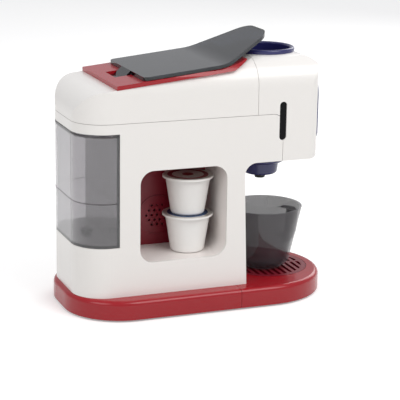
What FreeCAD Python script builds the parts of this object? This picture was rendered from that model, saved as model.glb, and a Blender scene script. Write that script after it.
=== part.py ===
# Toy coffee maker with a storage recess, a water tank, a lift-up lever,
# a cup and three coffee capsules.
# Millimetres.  +Z is up and the machine's front faces -Y.
# The origin is on the floor, under the middle of the base.
import FreeCAD
import Part
import Sketcher
import math
import os
import re

DOC = FreeCAD.newDocument("ToyCoffeeMaker")
V = FreeCAD.Vector

# Driving dimensions, one alias each
SIZES = {
    # base and its front lobe
    "base_length": 240, "base_width": 126, "base_top": 18, "base_rear_round": 50,
    "base_wall": 2.2, "base_edge_round": 4, "foot_drop": 1.5, "foot_radius": 7,
    "cover_plate": 2, "lobe_seam_y": -24.5, "seam_gap": 0.35, "foot_rear_x": 44,
    "foot_rear_y": 84, "foot_front_x": 34, "foot_front_y": -84, "boss_radius": 4, "boss_x": 50,
    "boss_rear_y": 50, "boss_front_y": -50,
    # machine body, seen from the side
    "body_width": 97, "wall": 2.4, "rear_y": 116, "rear_top_z": 192.2,
    "rear_top_round": 24, "ramp_foot_y": -20.6, "ramp_foot_z": 206.6, "ramp_round": 120,
    "crown_rear_y": -44, "crown_z": 215, "crown_round": 18, "front_y": -104,
    "front_bow": 5, "front_top_round": 18, "front_bottom_round": 13,
    "head_bottom_z": 126, "throat_round": 11, "column_top_y": -30.5,
    "column_foot_y": -34.5,
    # machine body, seen from above and from the front
    "rear_round": 28, "front_round": 9, "arch_round": 24,
    # seams between the three shells
    "seam_z": 167.5, "top_seam_y": -42, "front_seam_y": -65.7, "seam_round": 9,
    # storage recess
    "recess_rear_y": 63.5, "recess_front_y": -14.9, "recess_floor_z": 46.1,
    "recess_roof_z": 126, "recess_round": 12, "recess_depth": 52,
    "liner_wall": 2, "panel_plate": 2.4, "fit_gap": 0.3,
    # loudspeaker behind the recess
    "grille_y": 30, "grille_z": 72.5, "grille_pitch": 5, "grille_hole": 2.2,
    "grille_rings": 2, "grille_rim_radius": 18, "grille_rim_tall": 0.8,
    "speaker_radius": 18, "speaker_depth": 14,
    # side slots of the brew head
    "slot_y": -65.3, "slot_low_z": 144.4, "slot_high_z": 177.9, "slot_width": 6.5,
    "slot_sink": 0.9, "slot_plate": 1.8,
    # water tank
    "tank_front_y": 81.5, "tank_low_z": 61.5, "tank_high_z": 159, "tank_wall": 2,
    "bay_wall": 2, "tank_gap": 0.4, "valve_radius": 5, "valve_height": 5,
    # red top trim and smoked lever
    "trim_rear_y": 84, "trim_thick": 3.3, "lever_thick": 3, "lever_gap": 0.4,
    "lever_rear_y": 60, "lever_bend_y": -14, "lever_tip_y": -61,
    "lever_tip_z": 231, "lever_width": 94, "lever_tip_width": 44,
    "lever_bend_round": 45, "lever_tip_round": 19, "pivot_y": 68, "pivot_drop": 6.5,
    "knuckle_radius": 4.2, "knuckle_width": 24, "pin_radius": 1.5, "pin_length": 40,
    "pin_gap": 0.06, "knuckle_room": 2.2, "lug_width": 5, "lug_radius": 4.5,
    # brew chamber and nozzle
    "brew_y": -66, "chamber_bore": 23.5, "chamber_wall": 1.8, "collar_radius": 27.5,
    "collar_rise": 3.6, "seat_z": 150, "seat_plate": 2, "spigot_radius": 8,
    "spigot_wall": 2, "flange_radius": 22, "flange_low_z": 116, "cone_radius": 16.5,
    "cone_low_z": 105, "spout_radius": 5, "spout_low_z": 100.5, "spout_bore": 2.5,
    # control panel
    "panel_width": 84, "panel_low_z": 142.5, "panel_high_z": 207.5,
    "panel_arch_round": 30, "panel_corner_round": 6, "panel_proud": 0.9,
    "panel_sink": 1.1, "dial_z": 176, "dial_radius": 18, "dial_ledge": 3,
    "key_radius": 5, "key_offset_z": 8.6, "key_proud": 1.4, "key_travel": 1,
    "key_gap": 0.35, "light_radius": 2.6, "key_stem": 4, "key_stem_radius": 2,
    "key_board_width": 40, "key_board_tall": 44, "post_radius": 2.5,
    # cup
    "cup_y": -71, "cup_rim_radius": 34, "cup_foot_radius": 22, "cup_height": 56,
    "cup_wall": 2, "cup_floor": 2.4, "cup_belly_round": 11, "handle_reach": 19,
    "handle_low": 15, "handle_high": 46, "handle_width": 9, "handle_thick": 5,
    "handle_turn": -56, "rest_gap": 0.2,
    # drip grille
    "drip_radius": 37, "drip_y": -74, "drip_plate": 2.4, "drip_depth": 9,
    "drip_slot": 3, "drip_pitch": 6, "drip_ledge": 3, "drip_gap": 0.4,
    # capsules
    "capsule_rim_radius": 22, "capsule_top_radius": 19.5, "capsule_foot_radius": 14.5,
    "capsule_height": 33, "capsule_wall": 1.2, "capsule_rim": 1.4, "foil": 0.5,
    "stack_y": 10.5, "stack_inset": 6.5,
    # batteries, switch and the works inside
    "cell_radius": 7.2, "cell_length": 50, "cell_count": 3, "cell_pitch": 15.4,
    "cell_bed_z": 5.6, "battery_y": 30, "box_wall": 1.4, "door_gap": 0.4,
    "screw_radius": 1.5, "screw_head_radius": 2.8, "screw_head": 1.6,
    "switch_y": 78, "switch_travel": 5, "pump_radius": 12, "pump_length": 42,
    "pump_y": 96, "pump_x": -20, "tube_radius": 2.6, "tube_bore": 1.6,
    "tube_x": 14, "tube_rear_y": 70, "tube_high_z": 182, "tube_bend": 12,
    "board_stand": 8.5, "board_plate": 1.6, "board_length": 62, "board_tall": 46,
    "board_low_z": 94,
}

SHEET = DOC.addObject("Spreadsheet::Sheet", "Sizes")
for row, (alias, number) in enumerate(SIZES.items(), start=1):
    SHEET.set(f"A{row}", alias)
    SHEET.set(f"B{row}", str(number))
    SHEET.setAlias(f"B{row}", alias)
DOC.recompute()

NODES = []
NORMALS = {"XY_Plane": V(0, 0, 1), "XZ_Plane": V(0, -1, 0), "YZ_Plane": V(1, 0, 0)}


def bound(formula):
    """The formula with each alias written as a reference to the sheet."""
    def refer(word):
        return "Sizes." + word.group(0) if word.group(0) in SIZES else word.group(0)
    return re.sub(r"[A-Za-z_]\w*", refer, formula)


def size(formula):
    """The formula's present value."""
    return float(SHEET.evalExpression(bound(formula)))


def node(item, label):
    """Marks an object as a finished sub-part."""
    item.Label = label
    NODES.append(item)
    return item


def new_body(name):
    return DOC.addObject("PartDesign::Body", name)


def sketch(body, role, corners, arcs=None, lift="0"):
    """A closed outline of lines and arcs, each corner tied to the sheet.

    arcs maps an edge's number to a point on its arc and the arc's radius."""
    arcs = arcs or {}
    drawing = body.newObject("Sketcher::SketchObject", "Outline")
    plane = next(item for item in body.Origin.OriginFeatures if item.Role == role)
    drawing.AttachmentSupport = (plane, [""])
    drawing.MapMode = "FlatFace"
    drawing.setExpression("AttachmentOffset.Base.z", bound(lift))
    points = [V(size(u), size(v), 0) for u, v in corners]
    count = len(points)
    starts = {}
    for edge in range(count):
        start, end = points[edge], points[(edge + 1) % count]
        if edge in arcs:
            mid = V(size(arcs[edge][0]), size(arcs[edge][1]), 0)
            curve = Part.Arc(start, mid, end)
            drawing.addGeometry(curve, False)
            flipped = drawing.Geometry[edge].StartPoint.distanceToPoint(start) > 1e-6
            starts[edge] = 2 if flipped else 1
            tie = drawing.addConstraint(
                Sketcher.Constraint("Radius", edge, size(arcs[edge][2])))
            drawing.setExpression(f"Constraints[{tie}]", bound(arcs[edge][2]))
        else:
            drawing.addGeometry(Part.LineSegment(start, end), False)
            starts[edge] = 1
    for edge in range(count):
        follower = (edge + 1) % count
        drawing.addConstraint(Sketcher.Constraint(
            "Coincident", edge, 3 - starts[edge], follower, starts[follower]))
        for kind, formula in zip(("DistanceX", "DistanceY"), corners[edge]):
            tie = drawing.addConstraint(Sketcher.Constraint(
                kind, -1, 1, edge, starts[edge], size(formula)))
            drawing.setExpression(f"Constraints[{tie}]", bound(formula))
    return drawing


def prism(name, role, corners, low, high, arcs=None):
    """A body made by padding an outline from one level to another."""
    body = new_body(name)
    sign = "-1 * " if role == "XZ_Plane" else ""
    start = low if not sign else f"-1 * ({high})"
    outline = sketch(body, role, corners, arcs, start)
    pad = body.newObject("PartDesign::Pad", "Pad")
    pad.Profile = outline
    pad.setExpression("Length", bound(f"({high}) - ({low})"))
    DOC.recompute()
    return body


def turned(name, corners, arcs=None, at=("0", "0")):
    """A body turned about a vertical axis that stands at a point."""
    body = new_body(name)
    outline = sketch(body, "XZ_Plane", corners, arcs)
    turn = body.newObject("PartDesign::Revolution", "Revolution")
    turn.Profile = outline
    turn.ReferenceAxis = (outline, ["V_Axis"])
    turn.Angle = 360
    DOC.recompute()
    body.setExpression("Placement.Base.x", bound(at[0]))
    body.setExpression("Placement.Base.y", bound(at[1]))
    return body


def rounded(body, radius, chosen):
    """Fillets the edges of a body for which chosen(edge) is true."""
    DOC.recompute()
    shape = body.Shape
    names = [f"Edge{n}" for n, edge in enumerate(shape.Edges, start=1) if chosen(edge)]
    last = body.Tip
    fillet = body.newObject("PartDesign::Fillet", "Fillet")
    fillet.Base = (last, names)
    fillet.setExpression("Radius", bound(radius))
    body.Tip = fillet
    DOC.recompute()
    return body


def along(role, u, v):
    """Chooses the edges of a prism that run along it at the corner (u, v)."""
    def chosen(edge):
        if edge.Curve.TypeId != "Part::GeomLine":
            return False
        if edge.tangentAt(edge.FirstParameter).cross(NORMALS[role]).Length > 1e-4:
            return False
        spot = edge.CenterOfMass
        here = {"XY_Plane": (spot.x, spot.y), "XZ_Plane": (spot.x, spot.z),
                "YZ_Plane": (spot.y, spot.z)}[role]
        return math.hypot(here[0] - size(u), here[1] - size(v)) < 0.01
    return chosen


def level(z):
    """Chooses the edges that lie flat at a height."""
    def chosen(edge):
        return all(abs(corner.Z - size(z)) < 0.01 for corner in edge.Vertexes) and (
            abs(edge.CenterOfMass.z - size(z)) < 0.01)
    return chosen


def fused(name, *pieces):
    item = DOC.addObject("Part::MultiFuse", name)
    item.Shapes = list(pieces)
    DOC.recompute()
    return item


def shared(name, *pieces):
    item = DOC.addObject("Part::MultiCommon", name)
    item.Shapes = list(pieces)
    DOC.recompute()
    return item


def cut(name, base, *tools):
    tool = tools[0] if len(tools) == 1 else fused(name + "Tools", *tools)
    item = DOC.addObject("Part::Cut", name)
    item.Base = base
    item.Tool = tool
    DOC.recompute()
    return item


def placed(item, x, y, z, axis="z"):
    """Puts a primitive at a point tied to the sheet, its own Z along an axis."""
    turns = {"z": FreeCAD.Rotation(), "x": FreeCAD.Rotation(V(0, 1, 0), 90),
             "y": FreeCAD.Rotation(V(1, 0, 0), -90), "-y": FreeCAD.Rotation(V(1, 0, 0), 90)}
    item.Placement = FreeCAD.Placement(V(), turns[axis])
    for letter, formula in zip("xyz", (x, y, z)):
        item.setExpression(f"Placement.Base.{letter}", bound(formula))
    return item


def rod(name, radius, length, x, y, z, axis="z"):
    item = DOC.addObject("Part::Cylinder", name)
    item.setExpression("Radius", bound(radius))
    item.setExpression("Height", bound(length))
    return placed(item, x, y, z, axis)


def block(name, low, high):
    """A box from its lowest to its highest corner."""
    item = DOC.addObject("Part::Box", name)
    for side, a, b in zip(("Length", "Width", "Height"), low, high):
        item.setExpression(side, bound(f"({b}) - ({a})"))
    return placed(item, *low)


def repeated(name, make, spots):
    """One sub-part of several like solids, one for each spot."""
    return fused(name, *[make(f"{name}{n}", *spot) for n, spot in enumerate(spots, 1)])


# Outer form of the machine: what the side, plan and front views have in common
def envelope(name, inset, floor="base_top"):
    """The machine's form, drawn in by an inset on every side but the floor."""
    half = f"body_width / 2 - ({inset})"
    side = prism(name + "Side", "YZ_Plane", [
        (f"rear_y - ({inset})", floor),
        (f"rear_y - ({inset})", f"rear_top_z - ({inset})"),
        ("ramp_foot_y", f"ramp_foot_z - ({inset})"),
        ("crown_rear_y", f"crown_z - ({inset})"),
        (f"front_y + ({inset})", f"crown_z - ({inset})"),
        (f"front_y + ({inset})", f"head_bottom_z + ({inset})"),
        (f"column_top_y + ({inset})", f"head_bottom_z + ({inset})"),
        (f"column_foot_y + ({inset})", floor),
    ], f"-({half})", half)
    rounded(side, f"rear_top_round - ({inset})",
            along("YZ_Plane", f"rear_y - ({inset})", f"rear_top_z - ({inset})"))
    rounded(side, f"ramp_round + ({inset})",
            along("YZ_Plane", "ramp_foot_y", f"ramp_foot_z - ({inset})"))
    rounded(side, "crown_round", along("YZ_Plane", "crown_rear_y", f"crown_z - ({inset})"))
    rounded(side, f"front_top_round - ({inset})",
            along("YZ_Plane", f"front_y + ({inset})", f"crown_z - ({inset})"))
    rounded(side, f"front_bottom_round - ({inset})",
            along("YZ_Plane", f"front_y + ({inset})", f"head_bottom_z + ({inset})"))
    rounded(side, f"throat_round + ({inset})",
            along("YZ_Plane", f"column_top_y + ({inset})", f"head_bottom_z + ({inset})"))
    plan = prism(name + "Plan", "XY_Plane", [
        (half, f"rear_y - ({inset})"),
        (f"-({half})", f"rear_y - ({inset})"),
        (f"-({half})", f"front_y + front_bow + ({inset})"),
        (half, f"front_y + front_bow + ({inset})"),
    ], "0", "crown_z + 5", {2: (
        "0", f"front_y + ({inset})",
        f"(({half}) * ({half}) + front_bow * front_bow) / (2 * front_bow)")})
    for sign in ("", "-"):
        rounded(plan, f"rear_round - ({inset})",
                along("XY_Plane", f"{sign}({half})", f"rear_y - ({inset})"))
        rounded(plan, f"front_round - ({inset})",
                along("XY_Plane", f"{sign}({half})", f"front_y + front_bow + ({inset})"))
    face = prism(name + "Face", "XZ_Plane", [
        (f"-({half})", "0"), (half, "0"),
        (half, f"crown_z - ({inset})"), (f"-({half})", f"crown_z - ({inset})"),
    ], "front_y - 10", "rear_y + 10")
    for sign in ("", "-"):
        rounded(face, f"arch_round - ({inset})",
                along("XZ_Plane", f"{sign}({half})", f"crown_z - ({inset})"))
    return shared(name, side, plan, face)


outer = envelope("Outer", "0")
inner = envelope("Inner", "wall", "base_top - 5")
skin = cut("Skin", outer, inner)

# Storage recess: its window in the left wall, and the liner behind it
recess_corners = [("recess_front_y", "recess_floor_z"), ("recess_rear_y", "recess_floor_z"),
                  ("recess_rear_y", "recess_roof_z"), ("recess_front_y", "recess_roof_z")]


def recess_prism(name, grow, low, high):
    """A prism along X of the window's outline, grown by an amount all round."""
    corners = [(f"{u} {'-' if u == 'recess_front_y' else '+'} ({grow})",
                f"{v} {'-' if v == 'recess_floor_z' else '+'} ({grow})")
               for u, v in recess_corners]
    body = prism(name, "YZ_Plane", corners, low, high)
    for u, v in corners:
        rounded(body, f"recess_round + ({grow})", along("YZ_Plane", u, v))
    return body


window = recess_prism("Window", "0", "-body_width / 2 - 1", "-body_width / 2 + recess_depth")
liner_outside = recess_prism("LinerOutside", "liner_wall", "-body_width / 2 + wall",
                             "-body_width / 2 + recess_depth")
node(cut("StorageLiner", liner_outside, window), "storage_liner")

# Shells: regions on each side of the seams
seam_half = "seam_gap / 2"
tank_bay_block = block("TankBayBlock", (
    "-body_width / 2", "tank_front_y - bay_wall", "tank_low_z - bay_wall"), (
    "body_width / 2", "rear_y", "tank_high_z + bay_wall"))
tank_bay = block("TankBay", ("-body_width", "tank_front_y", "tank_low_z"),
                 ("body_width", "rear_y + 10", "tank_high_z"))
lower_region = prism("LowerRegion", "YZ_Plane", [
    ("rear_y + 10", "base_top"), ("rear_y + 10", f"seam_z - {seam_half}"),
    (f"front_seam_y + {seam_half}", f"seam_z - {seam_half}"),
    (f"front_seam_y + {seam_half}", "head_bottom_z - 10"),
    ("column_foot_y - 5", "head_bottom_z - 10"), ("column_foot_y - 5", "base_top"),
], "-body_width", "body_width")
rounded(lower_region, "seam_round",
        along("YZ_Plane", f"front_seam_y + {seam_half}", f"seam_z - {seam_half}"))
front_region = prism("FrontRegion", "YZ_Plane", [
    (f"top_seam_y - {seam_half}", f"seam_z + {seam_half}"),
    (f"top_seam_y - {seam_half}", "crown_z + 10"), ("front_y - 10", "crown_z + 10"),
    ("front_y - 10", "head_bottom_z - 10"),
    (f"front_seam_y - {seam_half}", "head_bottom_z - 10"),
    (f"front_seam_y - {seam_half}", f"seam_z + {seam_half}"),
], "-body_width", "body_width")
rounded(front_region, "seam_round + seam_gap",
        along("YZ_Plane", f"front_seam_y - {seam_half}", f"seam_z + {seam_half}"))
top_region = block("TopRegion", ("-body_width", f"top_seam_y + {seam_half}",
                                 f"seam_z + {seam_half}"),
                   ("body_width", "rear_y + 10", "crown_z + 10"))

# Side slots of the brew head, through both walls
slot_half = "slot_width / 2"


def slot_prism(name, slim, low, high):
    """A pill-shaped prism along X."""
    corners = [(f"slot_y {side} ({slot_half} - ({slim}))", level_z)
               for side, level_z in (("-", f"slot_low_z + ({slim})"), ("+", f"slot_low_z + ({slim})"),
                                     ("+", f"slot_high_z - ({slim})"), ("-", f"slot_high_z - ({slim})"))]
    body = prism(name, "YZ_Plane", corners, low, high)
    for u, v in corners:
        rounded(body, f"{slot_half} - ({slim}) - 0.02", along("YZ_Plane", u, v))
    return body


slots = slot_prism("Slots", "0", "-body_width", "body_width")
node(fused("SlotInserts",
           slot_prism("SlotLeft", "0.1", "-body_width / 2 + slot_sink",
                      "-body_width / 2 + slot_sink + slot_plate"),
           slot_prism("SlotRight", "0.1", "body_width / 2 - slot_sink - slot_plate",
                      "body_width / 2 - slot_sink")), "slot_windows")

# Lever pivot, hidden under the rear of the red trim
trim_slope = "((ramp_foot_z - rear_top_z) / (ramp_foot_y - rear_y))"
pivot_z = f"rear_top_z + {trim_slope} * (pivot_y - rear_y) + trim_thick - pivot_drop"
knuckle_slot = block("KnuckleSlot", (
    "-knuckle_width / 2 - knuckle_room / 2",
    "pivot_y - knuckle_radius - knuckle_room - 8", f"{pivot_z} - knuckle_radius - knuckle_room"), (
    "knuckle_width / 2 + knuckle_room / 2",
    "pivot_y + knuckle_radius + knuckle_room", f"{pivot_z} + 20"))

# Brew chamber: a tube with a collar on the crown and a spigot into the nozzle
port = rod("Port", "chamber_bore + chamber_wall + 0.2", "crown_z - seam_z", "0", "brew_y",
           "seam_z + 5")
spigot_hole = rod("SpigotHole", "spigot_radius + 0.2", "30", "0", "brew_y",
                  "head_bottom_z - 10")
chamber_tube = turned("ChamberTube", [
    ("spigot_radius - spigot_wall", "flange_low_z + 2"), ("spigot_radius", "flange_low_z + 2"),
    ("spigot_radius", "seat_z - seat_plate"),
    ("chamber_bore + chamber_wall", "seat_z - seat_plate"),
    ("chamber_bore + chamber_wall", "crown_z"), ("collar_radius", "crown_z"),
    ("collar_radius", "crown_z + collar_rise"), ("chamber_bore", "crown_z + collar_rise"),
    ("chamber_bore", "seat_z"), ("spigot_radius - spigot_wall", "seat_z"),
], at=("0", "brew_y"))
rounded(chamber_tube, "collar_rise / 2", level("crown_z + collar_rise"))
inlet = rod("Inlet", "tube_radius + 1", "-brew_y - 30 - chamber_bore * 0.6", "tube_x", "-30",
            "tube_high_z", "-y")
chamber_void = rod("ChamberVoid", "chamber_bore", "100", "0", "brew_y", "seat_z")
inlet_bore = rod("InletBore", "tube_bore", "-brew_y", "tube_x", "-25", "tube_high_z", "-y")
node(cut("BrewChamber", fused("ChamberAndInlet", chamber_tube, inlet),
         chamber_void, inlet_bore), "brew_chamber")

nozzle = turned("Nozzle", [
    ("spigot_radius + 0.2", "head_bottom_z"), ("flange_radius", "head_bottom_z"),
    ("flange_radius", "flange_low_z"), ("cone_radius", "flange_low_z"),
    ("cone_radius - 1.5", "cone_low_z"), ("spout_radius", "cone_low_z"),
    ("spout_radius", "flange_low_z + 1"), ("spigot_radius + 0.2", "flange_low_z + 1"),
], at=("0", "brew_y"))
rounded(nozzle, "3", lambda edge: level("flange_low_z")(edge)
        and edge.Length > 6 * size("flange_radius"))
rounded(nozzle, "2.5", lambda edge: level("cone_low_z")(edge)
        and edge.Length > 12 * size("spout_radius"))
node(nozzle, "nozzle")
spout = turned("Spout", [
    ("spout_bore", "spout_low_z"), ("spout_radius - 0.6", "spout_low_z"),
    ("spout_radius", "spout_low_z + 2"), ("spout_radius", "flange_low_z + 1"),
    ("spout_bore", "flange_low_z + 1"),
], at=("0", "brew_y"))
node(spout, "spout")

# Control panel: an arched plate let into the bowed front, with a dial and two keys
panel_half = "panel_width / 2"
panel_outline = [
    (f"-{panel_half}", "panel_low_z"), (panel_half, "panel_low_z"),
    (panel_half, "panel_high_z"), (f"-{panel_half}", "panel_high_z")]


def panel_prism(name, grow):
    """The arched outline, grown by an amount, through the front wall."""
    corners = [(f"{u} {'-' if u.startswith('-') else '+'} ({grow})",
                f"{v} {'-' if v == 'panel_low_z' else '+'} ({grow})")
               for u, v in panel_outline]
    body = prism(name, "XZ_Plane", corners, "front_y - 10", "front_y + 30")
    for number, (u, v) in enumerate(corners):
        radius = "panel_corner_round" if number < 2 else "panel_arch_round"
        rounded(body, f"{radius} + ({grow})", along("XZ_Plane", u, v))
    return body


sunk = envelope("Sunk", "panel_sink")
panel_skin = cut("PanelSkin", envelope("Proud", "-panel_proud"), sunk)
panel_pocket = shared("PanelPocket", cut("PanelBed", outer, sunk),
                      panel_prism("PanelPocketPrism", "0.15"))
dial_bore = rod("DialBore", "dial_radius + 0.1", "12", "0", "front_y - 5", "dial_z", "y")
node(cut("ControlPanel", shared("PanelPlate", panel_skin, panel_prism("PanelPrism", "0")),
         dial_bore), "control_panel")

key_spots = {"large_cup_key": "dial_z + key_offset_z", "small_cup_key": "dial_z - key_offset_z"}
key_holes = [rod("KeyHole", "key_radius + key_gap", "12", "0", "front_y - 5", z, "y")
             for z in key_spots.values()]
light_hole = rod("LightHole", "light_radius + 0.05", "12", "0", "front_y - 5", "dial_z", "y")
dial_disc = rod("DialDisc", "dial_radius", "panel_sink", "0", "front_y", "dial_z", "y")
node(cut("Dial", dial_disc, *key_holes, light_hole), "dial_ring")
for label, z in key_spots.items():
    cap = rod("KeyCap", "key_radius", "key_proud + panel_sink", "0",
              "front_y - key_proud", z, "y")
    stem = rod("KeyStem", "key_stem_radius", "key_stem + 1", "0",
               "front_y + panel_sink - 1", z, "y")
    node(fused("Key", cap, stem), label)
light = rod("Light", "light_radius", "key_stem + panel_sink", "0", "front_y - 0.3",
            "dial_z", "y")
node(light, "status_light")
board_y = "front_y + panel_sink + key_stem + key_travel + 0.3"
key_board = block("KeyBoard", ("-key_board_width / 2", board_y, "dial_z - key_board_tall / 2"),
                  ("key_board_width / 2", f"{board_y} + board_plate",
                   "dial_z + key_board_tall / 2"))
node(key_board, "key_board")
key_posts = [rod("KeyPost", "post_radius", f"{board_y} - front_y - wall / 2", x,
                 "front_y + wall / 2", z, "y")
             for x in ("-key_board_width / 2 + 4", "key_board_width / 2 - 4")
             for z in ("dial_z - key_board_tall / 2 + 3", "dial_z + key_board_tall / 2 - 3")]

# Lower shell with its tank bay and circuit-board posts, top cover and front shell
board_y_low = "battery_y - board_length / 2"
board_y_high = "battery_y + board_length / 2"
board_x = "(body_width / 2 - board_stand)"
board_posts = [rod("BoardPost", "post_radius", "board_stand - wall / 2 - board_plate",
                   f"{board_x} + board_plate", y, z, "x")
               for y in (f"{board_y_low} + 5", f"{board_y_high} - 5")
               for z in ("board_low_z + 5", "board_low_z + board_tall - 5")]
dock_hole = rod("DockHole", "valve_radius + 0.1", "20", "0", "pump_y", "tank_low_z - 10")
lower_shell = fused("LowerShell", skin, shared("BayWalls", outer, tank_bay_block), *board_posts)
node(cut("LowerBody", shared("LowerHalf", lower_shell, lower_region),
         window, tank_bay, slots, dock_hole, spigot_hole), "lower_body")
lugs = [block("Lug", (f"{x} - lug_width / 2", "pivot_y - lug_radius",
                      f"{pivot_z} - lug_radius"),
              (f"{x} + lug_width / 2", "pivot_y + lug_radius", f"{pivot_z} + 2"))
        for x in ("-(knuckle_width / 2 + knuckle_room / 2 + lug_width / 2)",
                  "knuckle_width / 2 + knuckle_room / 2 + lug_width / 2")]
pin_bore = rod("PinBore", "pin_radius + pin_gap", "pin_length + 1", "-pin_length / 2 - 0.5",
               "pivot_y", pivot_z, "x")
node(cut("TopCover", fused("TopAndLugs", shared("TopPart", skin, top_region), *lugs),
         knuckle_slot, pin_bore, port), "top_cover")
dial_seat = rod("DialSeat", "dial_radius - dial_ledge", "12", "0", "front_y - 5", "dial_z", "y")
front_part = fused("FrontAndPosts", shared("FrontPart", skin, front_region), *key_posts)
node(cut("FrontShell", front_part, port, slots, panel_pocket, spigot_hole, dial_seat),
     "front_shell")

# Red trim along the top, and the smoked lever that lies on it
half_width = "body_width / 2"
trim_region = prism("TrimRegion", "YZ_Plane", [
    ("trim_rear_y", f"rear_top_z + {trim_slope} * (trim_rear_y - rear_y)"),
    ("trim_rear_y", "crown_z + 10"),
    ("ramp_foot_y - 14", "crown_z + 10"),
    ("ramp_foot_y - 14", "ramp_foot_z + 7.5"),
    ("ramp_foot_y", "ramp_foot_z"),
], f"-{half_width}", half_width)
trim = shared("TrimBlank", cut("TrimSkin", envelope("TrimOutside", "-trim_thick"), outer),
              trim_region)
node(cut("TopTrim", trim, knuckle_slot), "top_trim")


def trim_top(y):
    """The height of the trim's top at a place along the machine."""
    return f"(rear_top_z + {trim_slope} * ({y} - rear_y) + trim_thick)"


lever_band = prism("LeverBand", "YZ_Plane", [
    ("lever_rear_y", f"{trim_top('lever_rear_y')} + lever_gap"),
    ("lever_rear_y", f"{trim_top('lever_rear_y')} + lever_gap + lever_thick"),
    ("lever_bend_y", f"{trim_top('lever_bend_y')} + lever_gap + lever_thick"),
    ("lever_tip_y", "lever_tip_z + lever_thick * 1.2"),
    ("lever_tip_y", "lever_tip_z"),
    ("lever_bend_y", f"{trim_top('lever_bend_y')} + lever_gap"),
], "-lever_width / 2", "lever_width / 2")
rounded(lever_band, "lever_bend_round", along(
    "YZ_Plane", "lever_bend_y", f"{trim_top('lever_bend_y')} + lever_gap + lever_thick"))
rounded(lever_band, "lever_bend_round + lever_thick", along(
    "YZ_Plane", "lever_bend_y", f"{trim_top('lever_bend_y')} + lever_gap"))
lever_plan = prism("LeverPlan", "XY_Plane", [
    ("-lever_width / 2", "lever_rear_y"), ("lever_width / 2", "lever_rear_y"),
    ("lever_width / 2", "lever_bend_y"), ("lever_tip_width / 2", "lever_tip_y"),
    ("-lever_tip_width / 2", "lever_tip_y"), ("-lever_width / 2", "lever_bend_y"),
], "rear_top_z - 20", "lever_tip_z + 20")
for sign in ("", "-"):
    rounded(lever_plan, "lever_tip_round",
            along("XY_Plane", f"{sign}lever_tip_width / 2", "lever_tip_y"))
    rounded(lever_plan, "lever_tip_round * 2",
            along("XY_Plane", f"{sign}lever_width / 2", "lever_bend_y"))
    rounded(lever_plan, "lever_tip_round / 4",
            along("XY_Plane", f"{sign}lever_width / 2", "lever_rear_y"))
lever_arm = prism("LeverArm", "YZ_Plane", [
    ("lever_rear_y - 5", f"{trim_top('lever_rear_y')} + lever_gap + lever_thick / 4"),
    ("lever_rear_y - 5", f"{trim_top('lever_rear_y')} + lever_gap + lever_thick"),
    ("lever_rear_y", f"{trim_top('lever_rear_y')} + lever_gap + lever_thick"),
    ("pivot_y + knuckle_radius", pivot_z), ("pivot_y", f"{pivot_z} - knuckle_radius"),
], "-knuckle_width / 2", "knuckle_width / 2")
knuckle = rod("Knuckle", "knuckle_radius", "knuckle_width", "-knuckle_width / 2", "pivot_y",
              pivot_z, "x")
node(cut("Lever", fused("LeverBlank", shared("LeverPlate", lever_band, lever_plan),
                        lever_arm, knuckle), pin_bore), "lever")
node(rod("LeverPin", "pin_radius", "pin_length", "-pin_length / 2", "pivot_y", pivot_z, "x"),
     "lever_pin")

# Water tank: the machine's rear between the bay's floor and roof, open at the top
tank_blank = shared("TankBlank", outer, block("TankSpace", (
    "-body_width", "tank_front_y + tank_gap", "tank_low_z + tank_gap"), (
    "body_width", "rear_y + 10", "tank_high_z - tank_gap")))
tank_hollow = shared("TankHollow", envelope("TankInner", "tank_wall"), block("TankWater", (
    "-body_width", "tank_front_y + tank_gap + tank_wall", "tank_low_z + tank_gap + tank_wall"), (
    "body_width", "rear_y + 10", "tank_high_z + 5")))
valve_bore = rod("ValveBore", "valve_radius", "20", "0", "pump_y", "tank_low_z - 10")
node(cut("Tank", tank_blank, tank_hollow, valve_bore), "water_tank")
node(rod("TankValve", "valve_radius", "valve_height", "0", "pump_y",
         "tank_low_z + tank_gap"), "tank_valve")

# Pump and its tubes
pump_z = "base_top + pump_radius + 0.3"
pump_top = "(base_top + 2 * pump_radius + 0.3)"
motor = rod("Motor", "pump_radius * 0.83", "pump_length * 0.6", "pump_x", "pump_y", pump_z, "x")
pump_head = rod("PumpHead", "pump_radius", "pump_length * 0.4", "pump_x + pump_length * 0.6",
                "pump_y", pump_z, "x")
node(motor, "pump_motor")
node(pump_head, "pump_head")
dock = rod("Dock", "valve_radius", "valve_height", "0", "pump_y",
           "tank_low_z + tank_gap / 2 - valve_height")
dock_bore = rod("DockBore", "tube_bore", "40", "0", "pump_y", "tank_low_z - 30")
node(cut("DockSeal", dock, dock_bore), "tank_dock")

suction = rod("Suction", "tube_radius", f"tank_low_z + tank_gap / 2 - valve_height - {pump_top}",
              "0", "pump_y", pump_top)
node(cut("SuctionTube", suction, dock_bore), "suction_tube")

# Delivery tube: from the pump up behind the tank bay's wall and forward to the chamber
tube_path = [V(size("tube_x"), size(y), size(z)) for y, z in (
    ("pump_y - pump_radius + 2", pump_z), ("tube_rear_y", pump_z),
    ("tube_rear_y", "tube_high_z"), ("-30", "tube_high_z"))]
bend = size("tube_bend")
runs = []
start = tube_path[0]
for corner, following in zip(tube_path[1:-1], tube_path[2:]):
    inward = (corner - start).normalize()
    outward = (following - corner).normalize()
    entry, leave = corner - inward * bend, corner + outward * bend
    middle = corner + (outward - inward) * bend * (1 - math.sqrt(0.5))
    runs.append(Part.makeLine(start, entry))
    runs.append(Part.Arc(entry, middle, leave).toShape())
    start = leave
runs.append(Part.makeLine(start, tube_path[-1]))
spine = Part.Wire(runs)
heading = tube_path[1] - tube_path[0]


def swept(radius):
    ring = Part.Wire(Part.makeCircle(size(radius), tube_path[0], heading))
    return spine.makePipeShell([ring], True, False)


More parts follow.
